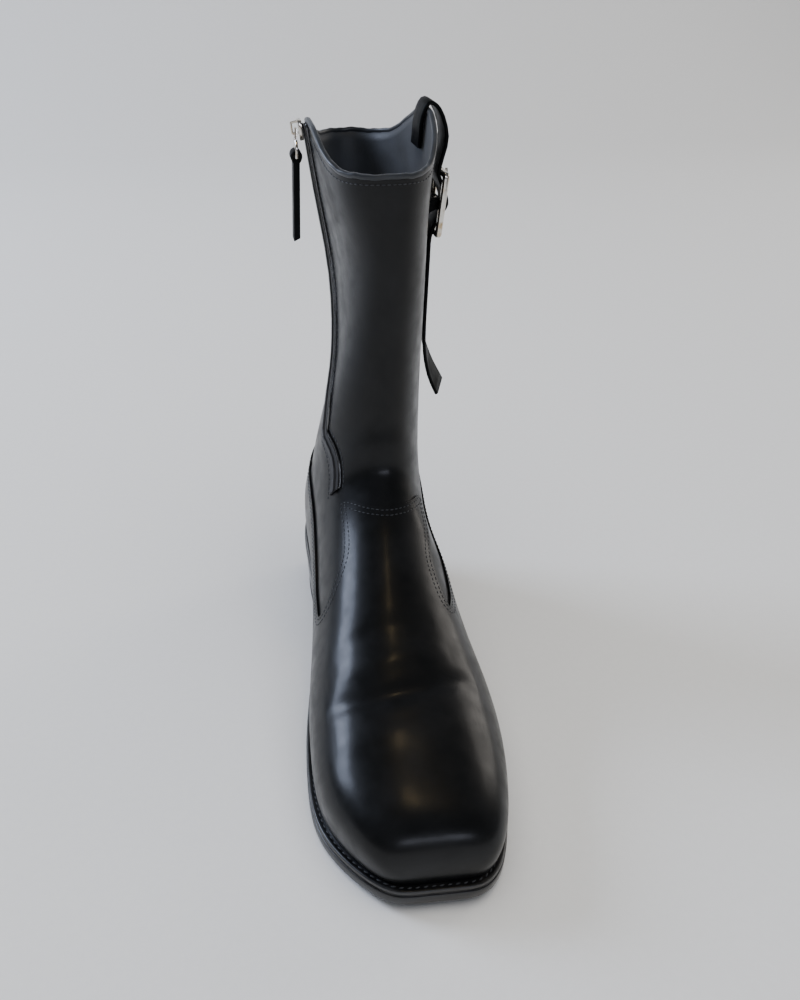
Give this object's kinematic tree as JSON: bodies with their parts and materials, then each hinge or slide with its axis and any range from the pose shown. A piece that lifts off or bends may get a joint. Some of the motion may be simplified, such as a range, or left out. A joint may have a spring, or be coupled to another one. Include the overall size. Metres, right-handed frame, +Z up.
{
  "type": "buckle boot",
  "caption": "Left mid-calf leather boot with a square toe, stitched welt, block heel, inner zip with a leather pull tab, and a buckled strap over the collar.",
  "frame": {"origin": "on the floor at the centre of the heel's tread", "axes": "+Z up, the toe along -Y, +X to the wearer's outer side, where the buckle is"},
  "size_m": [0.1028, 0.3096, 0.3006],
  "materials": {
    "upper_leather": "black, polished to a high gloss",
    "sole_leather": "black dyed edge, satin",
    "top_piece": "matte",
    "insole_board": "matte",
    "zip_cloth": "woven tape",
    "zip_coil": "moulded coil",
    "hardware": "polished, lightly worn"
  },
  "bodies": {
    "boot": {"outsole": "sole_leather", "welt": "sole_leather", "heel_block": "sole_leather", "heel_top_piece": "top_piece", "insole": "insole_board", "upper": "upper_leather", "zip_tape": "zip_cloth", "zip_teeth": "zip_coil", "zip_slider": "hardware", "strap": "upper_leather", "buckle_prong": "hardware", "buckle_chape": "upper_leather", "buckle_frame": "hardware"},
    "zip_pull": {"zip_puller": "hardware", "pull_tab": "upper_leather"}
  },
  "joints": [
    {"name": "zip_pull_swing", "type": "hinge", "parent": "boot", "child": "zip_pull", "pos_m": [-0.03468, 0.00379, 0.28613], "axis": [0.0061, 1, 0], "range_deg": [-10, 150]}
  ]
}
